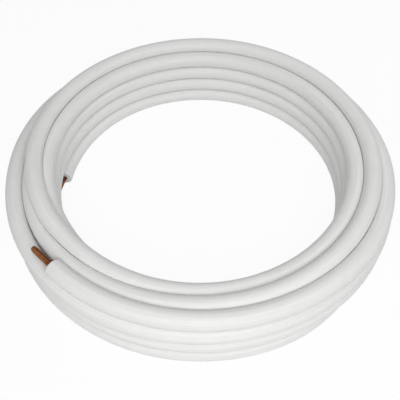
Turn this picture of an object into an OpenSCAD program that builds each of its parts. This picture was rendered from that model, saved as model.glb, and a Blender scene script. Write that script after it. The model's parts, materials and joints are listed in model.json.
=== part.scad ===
// Coil of copper tube in a white foam sleeve, lying flat as it leaves the winder.
// One tube is wound in three columns: up the inside, down the middle and up the outside.
// The coil axis is +Z and the floor is the plane z = 0. Angles run anticlockwise from +X, seen from above.

/* [Copper tube] */
// Outside diameter of the copper tube
tube_od = 9.52; // [6:0.01:16]
// Wall of the copper tube
tube_wall = 0.8; // [0.6:0.05:1.2]
// Bare copper that sticks out of the sleeve at each end
bare_len = 45; // [20:1:80]
// How far the copper runs on inside the sleeve at each end, as an angle round the coil
seat_sweep = 15; // [10:1:25]

/* [Foam sleeve] */
// Wall of the foam sleeve
foam_wall = 9; // [6:0.5:13]
// Radial clearance between the copper and the sleeve
sleeve_clearance = 0.2; // [0.1:0.05:0.5]
// How far one turn presses into the turn below it
turn_squeeze = 0.5; // [0.3:0.1:1.5]
// How far the lowest turns flatten on the floor
foot_squash = 0.6; // [0.3:0.1:1.5]
// How far the innermost turns flatten on the winder's drum
drum_squash = 0.5; // [0.3:0.1:1]

/* [Winding] */
// Clear width of the coil's bore, between the turns that the drum flattened
bore_d = 463; // [400:1:600]
// How far the middle column nests into the inner one
middle_nest = 4.2; // [4:0.1:5]
// Gap left between the middle column and the outer one
outer_gap = 5; // [3:0.1:7]
// How far the middle column stands above the other two
middle_lift = 13.5; // [9:0.5:16]

/* [Outer end] */
// Where the outer end of the sleeve is cut
outer_end_angle = 227; // [215:1:240]
// How far the outer tail stands clear of the column under it
tail_lift = 8; // [0:0.5:10]
// How far round the coil the outer tail lies level
tail_sweep = 88; // [60:1:100]
// Bend radius of the tail where it goes down into the winding
sink_bend = 220; // [205:1:235]
// Lean of the tail where it goes down into the winding
sink_lean = 20.5; // [19:0.5:23]
// Turn of the tail where it goes down into the winding
sink_turn = 65; // [60:1:68]

/* [Inner end] */
// Where the inner end of the sleeve is cut
inner_end_angle = 176; // [165:1:185]
// How far round the coil the lowest inner turn lies on the floor
floor_sweep = 262; // [240:1:275]
// Bend radius of the lowest inner turn where it climbs into the winding
climb_bend = 400; // [370:1:430]
// Lean of the lowest inner turn where it climbs into the winding
climb_lean = 30; // [27:1:33]
// Turn of the lowest inner turn where it climbs into the winding
climb_turn = 30; // [28:1:32]

/* [Hidden] */
$fn = 96;

sleeve_od = tube_od + 2 * foam_wall;
tube_id = tube_od - 2 * tube_wall;
sleeve_id = tube_od + 2 * sleeve_clearance;
row_pitch = sleeve_od - turn_squeeze;
first_row_z = sleeve_od / 2 - foot_squash;

inner_r = bore_d / 2 + sleeve_od / 2 - drum_squash;
middle_r = inner_r + sleeve_od - middle_nest;
outer_r = middle_r + sleeve_od + outer_gap;

top_row = 3;
outer_top_row = 2;

// A leaning run starts this far inside the level one
run_overlap = 1.5;
// Its bend draws it this much thinner, first where it sinks and then where it climbs
sink_thinning = 0.2;
climb_thinning = 0.3;
// A cutter runs this far past the ends of the channel it cuts, as an angle
cutter_overrun = 1;

sink_d = sleeve_od - 2 * sink_thinning;
climb_d = sleeve_od - 2 * climb_thinning;

// Centre of a turn in the coil's section, as [radius, height]
function inner_turn(row) = [inner_r, first_row_z + row * row_pitch];
function middle_turn(row) = [middle_r, first_row_z + row * row_pitch + middle_lift];
function outer_turn(row) = [outer_r, first_row_z + row * row_pitch];

outer_tail = outer_turn(outer_top_row + 1) + [0, tail_lift];
lowest_inner = inner_turn(0);

// Turns that go all the way round, column by column
inner_turns = [for (row = [1:top_row]) inner_turn(row)];
middle_turns = [for (row = [0:top_row]) middle_turn(row)];
outer_turns = [for (row = [0:outer_top_row]) outer_turn(row)];

// Hidden middle of the winding, through the centres of the turns around it
core_corners = [
    middle_turn(0), outer_turn(0), outer_turn(outer_top_row), middle_turn(top_row)
];

// A section of turns, flattened where they lie on the floor and where they lay on the drum
module pressed() {
    intersection() {
        children();
        translate([bore_d / 2, 0]) square([2 * outer_r, 2 * outer_tail[1]]);
    }
}

// The section of some turns
module turns(centres) {
    for (centre = centres)
        translate(centre) circle(d = sleeve_od);
}

// A section that the middle column presses into from the outside
module beside_middle() {
    difference() {
        pressed() children();
        turns(middle_turns);
    }
}

// The inner column's closed turns, round the coil's bore
module inner_column() {
    rotate_extrude()
        beside_middle() turns(inner_turns);
}

// The middle and outer columns' closed turns, and the hidden space between them
module outer_columns() {
    rotate_extrude()
        pressed() {
            turns(middle_turns);
            turns(outer_turns);
            polygon(core_corners);
        }
}

// A level stretch of sleeve round the coil axis, from angle 0
module level_run(centre, sweep) {
    rotate_extrude(angle = sweep)
        beside_middle() turns([centre]);
}

// A stretch that goes on from angle 0 and leans out of the level, to end inside the winding
module leaning_run(centre, bend, lean, turn, d) {
    overlap_angle = run_overlap / bend * 180 / PI;
    translate([centre[0], 0, centre[1]])
        rotate([0, lean, 0])
            translate([-bend, 0, 0])
                rotate([0, 0, -overlap_angle])
                    rotate_extrude(angle = turn + overlap_angle)
                        translate([bend, 0]) circle(d = d);
}

// What lies above the floor and inside the middle column
module inside_middle() {
    intersection() {
        children();
        cylinder(r = middle_r - sleeve_od / 2, h = outer_tail[1]);
    }
}

// A round channel or rod inside a level run, from one angle to another
module inner_run(centre, from, to, d) {
    rotate([0, 0, from])
        rotate_extrude(angle = to - from)
            translate(centre) circle(d = d);
}

// A straight rod along -Y from the cut of a level run at angle 0
module straight_rod(centre, length, d) {
    translate([centre[0], 0, centre[1]])
        rotate([90, 0, 0])
            cylinder(d = d, h = length);
}

// Puts a part that is drawn for the outer end in its place
module at_outer_end() {
    rotate([0, 0, outer_end_angle]) children();
}

// Puts a part that is drawn for the inner end in its place, wound the other way
module at_inner_end() {
    rotate([0, 0, inner_end_angle]) mirror([0, 1, 0]) children();
}

// The inner column of the sleeve, with its lowest turn and the inner end
module sleeve_inner() {
    color("whitesmoke")
        difference() {
            union() {
                inner_column();
                at_inner_end() {
                    level_run(lowest_inner, floor_sweep);
                    rotate([0, 0, floor_sweep])
                        inside_middle() leaning_run(lowest_inner, climb_bend, climb_lean, climb_turn, climb_d);
                }
            }
            at_inner_end() inner_run(lowest_inner, -cutter_overrun, seat_sweep + cutter_overrun, sleeve_id);
        }
}

// The middle and outer columns of the sleeve, with the tail on top and the outer end
module sleeve_outer() {
    color("whitesmoke")
        difference() {
            union() {
                outer_columns();
                at_outer_end() {
                    level_run(outer_tail, tail_sweep);
                    rotate([0, 0, tail_sweep])
                        leaning_run(outer_tail, sink_bend, -sink_lean, sink_turn, sink_d);
                }
            }
            at_outer_end() inner_run(outer_tail, -cutter_overrun, seat_sweep + cutter_overrun, sleeve_id);
        }
}

// One end of the copper tube: straight where it is bare, then round the coil in its sleeve
module tube_end(centre) {
    difference() {
        union() {
            straight_rod(centre, bare_len, tube_od);
            inner_run(centre, 0, seat_sweep, tube_od);
        }
        straight_rod(centre, 2 * bare_len, tube_id);
        inner_run(centre, 0, 2 * seat_sweep, tube_id);
    }
}

module copper_tube() {
    color("peru") {
        at_outer_end() tube_end(outer_tail);
        at_inner_end() tube_end(lowest_inner);
    }
}

sleeve_inner();
sleeve_outer();
copper_tube();
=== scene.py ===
"""Flat coil of soft copper tube in a white foam sleeve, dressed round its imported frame.

The sleeve is one long tube. Its centre line winds round the coil's axis through the stops in
ROUTE, and rings of points are carried along it and flattened where its turns press on each
other. The bare copper stands out of its two cut ends.
Lengths are in metres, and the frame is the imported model's: +Z up, the floor at z = 0.
"""

import json
import math

import bpy
import numpy as np
from bpy.props import FloatProperty, FloatVectorProperty, PointerProperty
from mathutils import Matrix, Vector


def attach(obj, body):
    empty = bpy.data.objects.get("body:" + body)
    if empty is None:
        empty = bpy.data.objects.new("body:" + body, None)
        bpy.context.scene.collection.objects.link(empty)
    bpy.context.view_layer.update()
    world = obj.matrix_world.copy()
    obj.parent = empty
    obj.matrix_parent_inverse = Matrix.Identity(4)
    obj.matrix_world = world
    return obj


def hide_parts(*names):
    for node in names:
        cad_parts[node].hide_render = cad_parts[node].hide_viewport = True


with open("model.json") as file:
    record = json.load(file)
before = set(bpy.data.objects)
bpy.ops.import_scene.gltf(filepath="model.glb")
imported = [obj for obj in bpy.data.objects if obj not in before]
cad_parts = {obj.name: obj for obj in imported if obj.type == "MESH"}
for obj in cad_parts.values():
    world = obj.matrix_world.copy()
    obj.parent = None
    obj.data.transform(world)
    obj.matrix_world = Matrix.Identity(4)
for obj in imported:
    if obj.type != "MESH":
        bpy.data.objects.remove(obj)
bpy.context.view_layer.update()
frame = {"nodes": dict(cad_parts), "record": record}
MOUNTS = {mount["name"]: mount for mount in frame["record"]["mounts"]}

bl_info = {
    "name": "Insulated tube coil",
    "version": (1, 0, 0),
    "blender": (4, 5, 0),
    "location": "3D View > Sidebar > Tube coil",
    "description": "Winds a foam sleeve into a flat coil with bare copper at both ends",
    "category": "Object",
}

MM = 0.001
WHITE = (1, 1, 1, 1)

# The stops of the winding, from the outer end to the inner one: degrees along the winding (90 is
# the back, 180 the left, 270 the front, 360 the right), then the radius and the height of the
# sleeve's centre, both in sleeve widths.
ROUTE = (
    # Outer column: the tail lies on top at the front, then three turns go down
    (227, 10.74, 3.50),
    (290, 10.82, 3.58),
    (325, 10.80, 3.45),
    (350, 10.64, 3.32),
    (375, 10.54, 3.12),
    (400, 10.66, 2.82),
    (425, 10.80, 2.58),
    (450, 10.88, 2.44),
    (500, 10.88, 2.66),
    (540, 10.80, 2.87),
    (575, 10.97, 2.70),
    (600, 11.00, 2.60),
    (640, 10.94, 2.50),
    (755, 10.92, 1.46),
    (1000, 10.92, 1.48),
    (1120, 10.92, 0.48),
    (1370, 10.94, 0.48),
    (1400, 10.58, 0.48),
    # Middle column: it starts on the floor at the right and climbs
    (1425, 10.02, 0.52),
    (1455, 9.80, 0.80),
    (1490, 9.76, 0.97),
    (1560, 9.76, 0.97),
    (1710, 9.90, 1.20),
    (1890, 9.76, 1.94),
    (1990, 9.84, 2.02),
    (2030, 10.06, 2.20),
    (2070, 9.96, 2.40),
    (2160, 9.85, 2.80),
    (2250, 9.76, 2.90),
    (2345, 9.88, 2.92),
    (2375, 9.94, 3.06),
    (2400, 9.94, 3.20),
    (2430, 9.95, 3.40),
    (2520, 9.85, 3.75),
    (2610, 9.76, 3.95),
    (2690, 9.62, 3.90),
    (2725, 9.44, 3.65),
    (2745, 9.22, 3.34),
    # Inner column: it goes down from the top, and ends on the floor at the left
    (2790, 9.10, 3.10),
    (2880, 9.00, 3.35),
    (2970, 8.90, 3.45),
    (3030, 8.92, 3.43),
    (3065, 8.97, 3.36),
    (3085, 9.00, 3.02),
    (3105, 8.98, 2.56),
    (3150, 8.94, 2.12),
    (3195, 9.02, 2.26),
    (3240, 8.92, 2.44),
    (3400, 8.92, 2.44),
    (3435, 8.92, 2.36),
    (3450, 9.02, 2.08),
    (3510, 9.12, 1.22),
    (3600, 8.90, 1.46),
    (3760, 8.92, 1.46),
    (3795, 9.00, 1.40),
    (3870, 8.74, 0.48),
    (3960, 8.90, 0.48),
    (4080, 8.88, 0.48),
    (4136, 8.72, 0.48),
)
OUTER_END, INNER_END = ROUTE[0], ROUTE[-1]
FIRST, LAST = OUTER_END[0], INNER_END[0]
FULL_TURN = 360
# Mean radius of the turns, in sleeve widths
MEAN_RADIUS = 9.8

# The sleeve's mesh: points in a ring, degrees from ring to ring, and degrees to each side over
# which a direction is taken
SLEEVE_POINTS = 44
RING_STEP = 2.0
TANGENT_REACH = 0.2
# Rings in the open bore, on the cut face and over the rounded rim of each end
BORE_RINGS, FACE_RINGS, RIM_RINGS = 9, 3, 5

# The copper's mesh: points in a ring, rings along each wall, and rings round the cut edge
COPPER_POINTS = 48
WALL_RINGS, EDGE_RINGS = 30, 7
# How much of the sleeve's bore the copper fills
SEAT_SHARE = 0.9

# The floor's reach to each side, and how white the camera sees it: the rest keeps the shadow
FLOOR_REACH = 6
FLOOR_WHITENESS = 0.93

# The lamps: where they stand, what they point at, and the side of their square
MAIN_LAMP = (0.06, -1.10, 1.20), (0, 0, 0.05), 1.2
BACK_LAMP = (0.55, 0.45, 0.75), (0.2, 0.2, 0.05), 0.6

# The camera: width of the picture and distance of the eye in pixels of the photograph, width of
# the sensor in millimetres, its place, and how far it looks down in degrees
PICTURE_WIDTH, EYE_DISTANCE = 400, 536
SENSOR_WIDTH = 36
CAMERA_PLACE = (-0.001, -0.602, 0.723)
LOOK_DOWN = 51.27


def linear(code):
    """A colour written as sRGB hex, as linear red, green, blue and alpha."""
    srgb = np.array([int(code[i:i + 2], 16) for i in (1, 3, 5)]) / 255
    light = np.where(srgb > 0.04045, ((srgb + 0.055) / 1.055) ** 2.4, srgb / 12.92)
    return (*light.tolist(), 1.0)


def put(tree, kind, inputs=(), **settings):
    """Adds a node with its settings. An input gets a value, or a link from another's output."""
    node = tree.nodes.new(kind)
    for name, value in settings.items():
        setattr(node, name, value)
    for name, value in dict(inputs).items():
        if isinstance(value, bpy.types.NodeSocket):
            tree.links.new(value, node.inputs[name])
        else:
            node.inputs[name].default_value = value
    return node


def new_material(name):
    """An empty material and its node tree."""
    material = bpy.data.materials.new(name)
    material.use_nodes = True
    material.node_tree.nodes.clear()
    return material, material.node_tree


def winding(angle):
    """Radius and height of the centre line, in sleeve widths, at some angles along the winding.

    A cubic runs from each stop of ROUTE to the next. Its slope at a stop is the harmonic mean of
    the straight slopes on both sides, or level where these have different signs.
    """
    stops = np.array(ROUTE)
    span = np.diff(stops[:, :1], axis=0)
    rise = np.diff(stops[:, 1:], axis=0) / span
    product, total = rise[:-1] * rise[1:], rise[:-1] + rise[1:]
    slope = np.zeros_like(stops[:, 1:])
    slope[1:-1] = np.where(product > 0, 2 * product / np.where(product > 0, total, 1), 0)
    i = np.clip(np.searchsorted(stops[:, 0], angle, side="right") - 1, 0, len(span) - 1)
    t = (angle - stops[i, 0])[:, None] / span[i]
    level = stops[i, 1:] * (1 + 2 * t) * (1 - t) ** 2 + stops[i + 1, 1:] * (3 - 2 * t) * t ** 2
    lean = slope[i] * t * (1 - t) ** 2 - slope[i + 1] * (1 - t) * t ** 2
    return level + span[i] * lean


def outwards(turn):
    """Level directions away from the coil's axis at some angles in radians: (cos, sin, 0)."""
    return np.stack([np.cos(turn), np.sin(turn), np.zeros_like(turn)], axis=-1)


def centre_line(angle, width):
    """Points of the sleeve's centre line: radius and height, turned round the axis."""
    radius, height = (winding(angle) * width).T
    turn = np.radians(angle)
    return np.stack([radius * np.cos(turn), radius * np.sin(turn), height], axis=-1)


def unit(vectors):
    """Vectors made one long."""
    return vectors / np.linalg.norm(vectors, axis=-1, keepdims=True)


def directions(tangent, turn):
    """The outward and upward directions across a tube: the coil's own, squared to its run."""
    out = outwards(turn)
    out = unit(out - tangent * np.sum(out * tangent, axis=-1, keepdims=True))
    return out, np.cross(out, tangent)


def rings(centre, out, up, radius, around):
    """Rings of points: centre + radius * (cos a * out + sin a * up), with a once round."""
    a = np.linspace(0, 2 * math.pi, around, endpoint=False)[None, :, None]
    side = np.cos(a) * out[:, None] + np.sin(a) * up[:, None]
    return centre[:, None] + radius[:, None, None] * side


def pressed(ring, centre, angle, width, gap):
    """Rings of the sleeve, flattened where another turn of the winding presses on them.

    Two turns meet half way. A point that lies past the middle of their centre lines, less half
    the gap, goes back to there, straight along the line from the one centre to the other.
    """
    turns = int((LAST - FIRST) / FULL_TURN)
    for turn in (n for n in range(-turns, turns + 1) if n):
        there = angle + FULL_TURN * turn
        beside = (there >= FIRST) & (there <= LAST)
        away = centre_line(there[beside], width) - centre[beside]
        reach, side = np.linalg.norm(away, axis=-1)[:, None], unit(away)[:, None]
        past = np.sum((ring[beside] - centre[beside, None]) * side, axis=-1) - (reach - gap) / 2
        ring[beside] -= np.maximum(past, 0)[..., None] * side
    return ring


def straightened(along, radius, around):
    """The same points on the tube pulled straight along Z, where the finish is laid out."""
    a = np.linspace(0, 2 * math.pi, around, endpoint=False)[None, :]
    across = radius[:, None]
    return np.stack([across * np.cos(a), across * np.sin(a), along[:, None] + 0 * a], axis=-1)


def tube_mesh(name, shells, material):
    """A mesh object of closed tubes: each is a grid of rings with a flat cap on both ends."""
    points, lay, corners, totals, first = [], [], [], [], 0
    for ring, flat in shells:
        count, around = ring.shape[:2]
        index = first + np.arange(count * around).reshape(count, around)
        beside = np.roll(index, -1, axis=1)
        quads = np.stack([index[:-1], index[1:], beside[1:], beside[:-1]], axis=-1)
        corners += [quads.ravel(), index[0], index[-1, ::-1]]
        totals += [np.full(quads.shape[0] * around, 4), [around, around]]
        points.append(ring.reshape(-1, 3))
        lay.append(flat.reshape(-1, 3))
        first += count * around
    points, lay = np.concatenate(points), np.concatenate(lay)
    corners, totals = np.concatenate(corners), np.concatenate(totals)
    mesh = bpy.data.meshes.new(name)
    mesh.vertices.add(len(points))
    mesh.vertices.foreach_set("co", points.ravel())
    mesh.loops.add(len(corners))
    mesh.loops.foreach_set("vertex_index", corners)
    mesh.polygons.add(len(totals))
    mesh.polygons.foreach_set("loop_start", np.cumsum(totals) - totals)
    mesh.update(calc_edges=True)
    mesh.shade_smooth()
    straight = mesh.attributes.new("straight", "FLOAT_VECTOR", "POINT")
    straight.data.foreach_set("vector", lay.ravel())
    mesh.validate()
    mesh.materials.append(material)
    piece = bpy.data.objects.new(name, mesh)
    bpy.context.scene.collection.objects.link(piece)
    return piece


def grain(tree, across, along, detail):
    """Noise on the straightened tube that repeats after about these sizes across and along it."""
    lay = put(tree, "ShaderNodeAttribute", attribute_name="straight").outputs["Vector"]
    size = put(tree, "ShaderNodeMapping", {
        "Vector": lay, "Scale": (1 / across, 1 / across, 1 / along),
    })
    noise = put(tree, "ShaderNodeTexNoise", {
        "Vector": size.outputs["Vector"], "Scale": 1.0, "Detail": detail,
    })
    return noise.outputs["Fac"]


def blend(tree, spots, share, lines, low, high):
    """Nought to one over low to high of the lines plus a share of the spots."""
    both = put(tree, "ShaderNodeMath", {0: spots, 1: share, 2: lines}, operation="MULTIPLY_ADD")
    tone = put(tree, "ShaderNodeMapRange", {
        "Value": both.outputs[0], "From Min": low, "From Max": high,
    })
    return tone.outputs["Result"]


def foam_material(colour, shade):
    """Polyethylene foam with an extruded skin: matt white with a soft shine.

    The die leaves faint lines along the tube, the cooling skin fine ripples across it, and the
    cells under the skin a soft blotchiness.
    """
    material, tree = new_material("white polyethylene foam")
    lines = grain(tree, across=1.6 * MM, along=160 * MM, detail=2.0)
    ripples = grain(tree, across=22 * MM, along=1.5 * MM, detail=1.0)
    cells = grain(tree, across=9 * MM, along=14 * MM, detail=3.0)
    tone = blend(tree, cells, share=0.35, lines=lines, low=0.45, high=0.9)
    paint = put(tree, "ShaderNodeMix", {"Factor": tone, 6: shade, 7: colour}, data_type="RGBA")
    gloss = put(tree, "ShaderNodeMapRange", {"Value": lines, "To Min": 0.48, "To Max": 0.62})
    drawn = put(tree, "ShaderNodeBump", {
        "Height": lines, "Strength": 0.5, "Distance": 0.12 * MM,
    })
    rippled = put(tree, "ShaderNodeBump", {
        "Height": ripples, "Strength": 0.4, "Distance": 0.1 * MM,
        "Normal": drawn.outputs["Normal"],
    })
    skin = put(tree, "ShaderNodeBsdfPrincipled", {
        "Base Color": paint.outputs[2], "Roughness": gloss.outputs["Result"], "IOR": 1.5,
        "Normal": rippled.outputs["Normal"],
    })
    put(tree, "ShaderNodeOutputMaterial", {"Surface": skin.outputs["BSDF"]})
    return material


def copper_material(colour, tarnish_and_painted_reflection):
    """Drawn soft copper that has dulled in the air: brown, with streaks along the tube.

    The streaks are partly draw lines and partly painted reflection: the dark and light bands that
    a round metal tube reflects along its length. Real draw lines are finer. They are as coarse
    here as they need to be to show.
    """
    material, tree = new_material("dulled copper with painted reflection bands")
    # Coarse streaks along the tube: draw lines, and painted reflection bands, dark and light
    lines = grain(tree, across=2.4 * MM, along=60 * MM, detail=3.0)
    spots = grain(tree, across=6 * MM, along=6 * MM, detail=4.0)
    tone = blend(tree, spots, share=0.4, lines=lines, low=0.55, high=0.85)
    paint = put(tree, "ShaderNodeMix", {"Factor": tone, 6: tarnish_and_painted_reflection, 7: colour}, data_type="RGBA")
    gloss = put(tree, "ShaderNodeMapRange", {"Value": tone, "To Min": 0.5, "To Max": 0.34})
    drawn = put(tree, "ShaderNodeBump", {
        "Height": lines, "Strength": 0.4, "Distance": 0.05 * MM,
    })
    metal = put(tree, "ShaderNodeBsdfPrincipled", {
        "Base Color": paint.outputs[2], "Metallic": 1.0, "Roughness": gloss.outputs["Result"],
        "Normal": drawn.outputs["Normal"],
    })
    put(tree, "ShaderNodeOutputMaterial", {"Surface": metal.outputs["BSDF"]})
    return material


def seen_directly(tree):
    """One where the camera sees the surface straight, in a shiny surface or through glass."""
    path = put(tree, "ShaderNodeLightPath").outputs
    seen = path["Is Camera Ray"]
    for ray in ("Is Glossy Ray", "Is Transmission Ray"):
        either = put(tree, "ShaderNodeMath", {0: seen, 1: path[ray]}, operation="MAXIMUM")
        seen = either.outputs[0]
    return seen


class SleeveSettings(bpy.types.PropertyGroup):
    """Sizes and colours of the foam sleeve."""
    width: FloatProperty(
        name="Width", description="Outside diameter of the foam sleeve",
        default=27.52 * MM, unit="LENGTH",
    )
    bore: FloatProperty(
        name="Bore", description="Inside diameter of the foam sleeve",
        default=9.92 * MM, unit="LENGTH",
    )
    rim: FloatProperty(
        name="Rim", description="Rounding of the outer edge where the sleeve is cut",
        default=2.5 * MM, unit="LENGTH",
    )
    depth: FloatProperty(
        name="Depth", description="How far the bore runs in from each cut end",
        default=60 * MM, unit="LENGTH",
    )
    gap: FloatProperty(
        name="Gap", description="Gap between two turns that press on each other",
        default=0.6 * MM, unit="LENGTH",
    )
    colour: FloatVectorProperty(
        name="Colour", description="White of the foam's skin",
        size=4, subtype="COLOR", default=linear("#e9e9e8"),
    )
    shade: FloatVectorProperty(
        name="Shade", description="Darker white of its lines and blotches",
        size=4, subtype="COLOR", default=linear("#dededd"),
    )


class CopperSettings(bpy.types.PropertyGroup):
    """Sizes and colours of the copper tube."""
    width: FloatProperty(
        name="Width", description="Outside diameter of the copper tube",
        default=2 * MM * MOUNTS["outer_end"]["dims"]["r_mm"], unit="LENGTH",
    )
    wall: FloatProperty(
        name="Wall", description="Wall of the copper tube",
        default=0.8 * MM, unit="LENGTH",
    )
    bare: FloatProperty(
        name="Bare length", description="Copper that stands out of the sleeve at each end",
        default=MM * MOUNTS["outer_end"]["dims"]["length_mm"], unit="LENGTH",
    )
    roll: FloatProperty(
        name="Roll", description="Length over which the cutter rolled the end in",
        default=7 * MM, unit="LENGTH",
    )
    pinch: FloatProperty(
        name="Pinch", description="How far the rolled rim leans in",
        default=1.2 * MM, unit="LENGTH",
    )
    lean: FloatProperty(
        name="Lean", description="How far the bare inner end is bent outwards",
        default=math.radians(7), subtype="ANGLE",
    )
    # The bright and dark ends of the copper's streaks and spots: dulled copper, and painted
    # reflection bands along the tube
    colour: FloatVectorProperty(
        name="Colour", description="Copper where it is bright",
        size=4, subtype="COLOR", default=linear("#905c3a"),
    )
    tarnish_and_painted_reflection: FloatVectorProperty(
        name="Tarnish", description="Copper where it has dulled",
        size=4, subtype="COLOR", default=linear("#432413"),
    )


class StageSettings(bpy.types.PropertyGroup):
    """The floor and the light."""
    floor: FloatVectorProperty(
        name="Floor", description="Colour of the floor",
        size=4, subtype="COLOR", default=linear("#f4f4f4"),
    )
    main: FloatProperty(
        name="Main lamp", description="Power of the lamp above the viewer, in watts",
        default=16.0, subtype="POWER",
    )
    back: FloatProperty(
        name="Back lamp", description="Power of the lamp at the back right, in watts",
        default=1.0, subtype="POWER",
    )
    fill: FloatProperty(
        name="Fill light", description="Strength of the light from all round",
        default=0.335, min=0.0,
    )


class TUBECOIL_OT_wind_sleeve(bpy.types.Operator):
    """Wind the foam sleeve from its outer end to its inner one"""
    bl_idname = "tube_coil.wind_sleeve"
    bl_label = "Wind the foam sleeve"

    def execute(self, context):
        size = context.scene.coil_sleeve
        width, half, bore, rim = size.width, size.width / 2, size.bore / 2, size.rim

        # From the bottom of the bore out to the cut face, and over its rounded rim
        quarter = np.linspace(0, math.pi / 2, RIM_RINGS)
        inset = np.concatenate([
            np.linspace(size.depth, 0, BORE_RINGS),
            np.zeros(FACE_RINGS),
            rim - rim * np.cos(quarter),
        ])
        radius = np.concatenate([
            np.full(BORE_RINGS, bore),
            np.linspace(bore, half - rim, FACE_RINGS + 2)[1:-1],
            half - rim + rim * np.sin(quarter),
        ])

        # Such an end, the long run, and the other end
        start = FIRST + np.degrees(inset / (OUTER_END[1] * width))
        end = LAST - np.degrees(inset / (INNER_END[1] * width))
        run = np.arange(start[-1] + RING_STEP, end[-1] - RING_STEP / 2, RING_STEP)
        angle = np.concatenate([start, run, end[::-1]])
        radius = np.concatenate([radius, np.full(len(run), half), radius[::-1]])

        centre = centre_line(angle, width)
        ahead = centre_line(np.minimum(angle + TANGENT_REACH, LAST), width)
        behind = centre_line(np.maximum(angle - TANGENT_REACH, FIRST), width)
        out, up = directions(unit(ahead - behind), np.radians(angle))
        ring = rings(centre, out, up, radius, SLEEVE_POINTS)
        ring = pressed(ring, centre, angle, width, size.gap)
        # The lowest turns flatten on the floor
        ring[..., 2] = np.maximum(ring[..., 2], 0)

        along = np.radians(angle) * MEAN_RADIUS * width
        flat = straightened(along, radius, SLEEVE_POINTS)
        material = foam_material(size.colour, size.shade)
        piece = tube_mesh("wound_sleeve", [(ring, flat)], material)
        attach(piece, "root")
        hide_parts(*(node for node in frame["nodes"] if node != "copper_tube"))
        return {"FINISHED"}


class TUBECOIL_OT_copper_ends(bpy.types.Operator):
    """Draw the copper tube at both ends of the sleeve"""
    bl_idname = "tube_coil.copper_ends"
    bl_label = "Draw the copper ends"

    def execute(self, context):
        size, sleeve = context.scene.coil_copper, context.scene.coil_sleeve
        half, wall, edge = size.width / 2, size.wall, size.bare - size.wall / 2

        # The wall's outline: out along the tube, round its cut edge, and back in along the bore
        turn = np.linspace(0, math.pi, EDGE_RINGS)[1:-1]
        outside = np.linspace(-SEAT_SHARE * sleeve.depth, edge, WALL_RINGS)
        along = np.concatenate([outside, edge + wall / 2 * np.sin(turn), outside[::-1]])
        radius = np.concatenate([
            np.full(WALL_RINGS, half),
            half - wall / 2 + wall / 2 * np.cos(turn),
            np.full(WALL_RINGS, half - wall),
        ])
        # The cutter rolled the rim in over the last few millimetres
        rolled = np.clip(1 - (size.bare - along) / size.roll, 0, 1) ** 2
        radius = radius - size.pinch * rolled
        flat = straightened(along, radius, COPPER_POINTS)

        # Round the coil inside the sleeve, and straight where it is bare
        inside, bare = np.minimum(along, 0), np.maximum(along, 0)
        shells = []
        for stop, way, lean in ((OUTER_END, -1, 0.0), (INNER_END, 1, size.lean)):
            circle, height = stop[1] * sleeve.width, stop[2] * sleeve.width
            angle = np.radians(stop[0]) + way * inside / circle
            outward = outwards(angle)
            tangent = way * np.stack([-np.sin(angle), np.cos(angle), 0 * angle], axis=-1)
            bent = np.where(bare > 0, lean, 0)[:, None]
            tangent = np.cos(bent) * tangent + np.sin(bent) * outward
            centre = circle * outward + (0, 0, height) + bare[:, None] * tangent
            out, up = directions(tangent, angle)
            shells.append((rings(centre, out, up, radius, COPPER_POINTS), flat))

        piece = tube_mesh("copper_ends", shells, copper_material(size.colour, size.tarnish_and_painted_reflection))
        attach(piece, "root")
        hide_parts("copper_tube")
        return {"FINISHED"}


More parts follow.
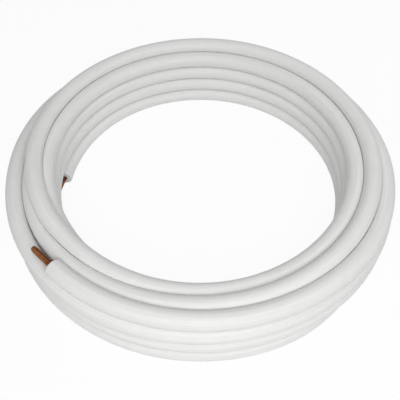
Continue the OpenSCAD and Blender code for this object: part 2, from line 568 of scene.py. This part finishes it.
class TUBECOIL_OT_set_stage(bpy.types.Operator):
    """Set the floor, the light and the camera"""
    bl_idname = "tube_coil.set_stage"
    bl_label = "Set the stage"

    def execute(self, context):
        scene, size = context.scene, context.scene.coil_stage
        scene.view_settings.view_transform = "Standard"

        # Pale studio floor: white to the camera, with a trace of the coil's shadow
        material, tree = new_material("pale studio floor")
        matt = put(tree, "ShaderNodeBsdfDiffuse", {"Color": size.floor})
        white = put(tree, "ShaderNodeEmission", {"Color": WHITE, "Strength": 1.0})
        share = put(tree, "ShaderNodeMath", {
            0: seen_directly(tree), 1: FLOOR_WHITENESS,
        }, operation="MULTIPLY")
        both = put(tree, "ShaderNodeMixShader", {
            0: share.outputs[0], 1: matt.outputs[0], 2: white.outputs[0],
        })
        put(tree, "ShaderNodeOutputMaterial", {"Surface": both.outputs[0]})
        corners = [(x * FLOOR_REACH, y * FLOOR_REACH, 0)
                   for x, y in ((-1, -1), (1, -1), (1, 1), (-1, 1))]
        mesh = bpy.data.meshes.new("floor")
        mesh.from_pydata(corners, [], [(0, 1, 2, 3)])
        mesh.materials.append(material)
        floor = bpy.data.objects.new("floor", mesh)
        scene.collection.objects.link(floor)

        # A white room, which lights the coil less brightly than the camera sees it
        world = bpy.data.worlds.new("white room")
        scene.world = world
        world.use_nodes = True
        tree = world.node_tree
        tree.nodes.clear()
        level = put(tree, "ShaderNodeMapRange", {
            "Value": seen_directly(tree), "To Min": size.fill, "To Max": 1.0,
        })
        sky = put(tree, "ShaderNodeBackground", {
            "Color": WHITE, "Strength": level.outputs["Result"],
        })
        put(tree, "ShaderNodeOutputWorld", {"Surface": sky.outputs[0]})

        # A soft lamp above the viewer, and a weak one at the back right
        for name, watts, (place, aim, side) in (
            ("main lamp", size.main, MAIN_LAMP),
            ("back lamp", size.back, BACK_LAMP),
        ):
            lamp = bpy.data.lights.new(name, "AREA")
            lamp.energy, lamp.size = watts, side
            light = bpy.data.objects.new(name, lamp)
            light.location = place
            towards = Vector(aim) - Vector(place)
            light.rotation_euler = towards.to_track_quat("-Z", "Y").to_euler()
            scene.collection.objects.link(light)

        # The camera stands in front of the coil and looks down on it
        lens = bpy.data.cameras.new("camera")
        lens.sensor_width = SENSOR_WIDTH
        lens.lens = SENSOR_WIDTH * EYE_DISTANCE / PICTURE_WIDTH
        camera = bpy.data.objects.new("camera", lens)
        camera.location = CAMERA_PLACE
        camera.rotation_euler = (math.radians(90 - LOOK_DOWN), 0, 0)
        scene.collection.objects.link(camera)
        scene.camera = camera
        return {"FINISHED"}


class TUBECOIL_PT_coil(bpy.types.Panel):
    """Lists the coil's pieces, sizes and colours"""
    bl_label = "Tube coil"
    bl_space_type = "VIEW_3D"
    bl_region_type = "UI"
    bl_category = "Tube coil"

    def draw(self, context):
        for operator, group in PIECES:
            box = self.layout.box()
            settings = getattr(context.scene, group)
            for name in settings.__annotations__:
                box.prop(settings, name)
            box.operator(operator.bl_idname)


GROUPS = {
    "coil_sleeve": SleeveSettings,
    "coil_copper": CopperSettings,
    "coil_stage": StageSettings,
}
PIECES = (
    (TUBECOIL_OT_set_stage, "coil_stage"),
    (TUBECOIL_OT_wind_sleeve, "coil_sleeve"),
    (TUBECOIL_OT_copper_ends, "coil_copper"),
)
CLASSES = (*GROUPS.values(), *(operator for operator, _ in PIECES), TUBECOIL_PT_coil)


def register():
    for cls in CLASSES:
        bpy.utils.register_class(cls)
    for name, group in GROUPS.items():
        setattr(bpy.types.Scene, name, PointerProperty(type=group))


def unregister():
    for name in GROUPS:
        delattr(bpy.types.Scene, name)
    for cls in reversed(CLASSES):
        bpy.utils.unregister_class(cls)


def main():
    register()
    bpy.ops.tube_coil.set_stage()
    bpy.ops.tube_coil.wind_sleeve()
    bpy.ops.tube_coil.copper_ends()
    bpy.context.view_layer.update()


if __name__ == "__main__":
    main()
